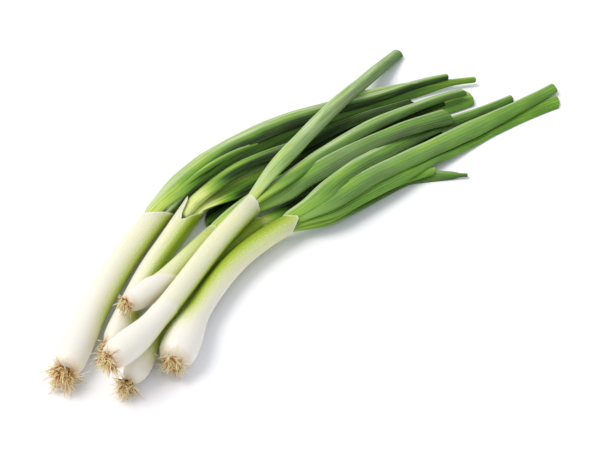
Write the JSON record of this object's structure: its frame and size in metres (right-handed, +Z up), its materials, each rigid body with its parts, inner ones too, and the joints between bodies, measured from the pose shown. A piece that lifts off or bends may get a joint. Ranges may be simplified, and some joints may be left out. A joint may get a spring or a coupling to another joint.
{
  "type": "spring onion bunch",
  "caption": "Loose bunch of fresh spring onions lying on a surface, with white bulbs and shanks, rootlets and trimmed green leaves.",
  "frame": {"origin": "middle of the underside of the bounding box, on the surface that the bunch lies on", "axes": "+X from the roots to the leaf tips, +Y across the bunch to the left of that, +Z up"},
  "size_m": [0.3686, 0.1276, 0.0326],
  "materials": {
    "bulb": "moist, faintly ribbed white skin, yellow-green towards the leaves",
    "leaf": "waxy green leaf with fine lengthwise ribs",
    "roots": "dry, straw-coloured rootlets"
  },
  "bodies": {
    "root": {"onion_1_bulb": "bulb", "onion_1_roots": "roots", "onion_1_leaf_1": "leaf", "onion_1_leaf_2": "leaf", "onion_1_leaf_3": "leaf", "onion_2_bulb": "bulb", "onion_2_roots": "roots", "onion_2_leaf_1": "leaf", "onion_2_leaf_2": "leaf", "onion_3_bulb": "bulb", "onion_3_roots": "roots", "onion_3_leaf_1": "leaf", "onion_3_leaf_2": "leaf", "onion_4_bulb": "bulb", "onion_4_roots": "roots", "onion_4_leaf_1": "leaf", "onion_4_leaf_2": "leaf", "onion_4_leaf_3": "leaf", "onion_5_bulb": "bulb", "onion_5_roots": "roots", "onion_5_leaf_1": "leaf", "onion_6_bulb": "bulb", "onion_6_roots": "roots", "onion_6_leaf_1": "leaf", "onion_6_leaf_2": "leaf", "onion_6_leaf_3": "leaf", "onion_6_leaf_4": "leaf", "onion_6_leaf_5": "leaf"}
  },
  "joints": []
}
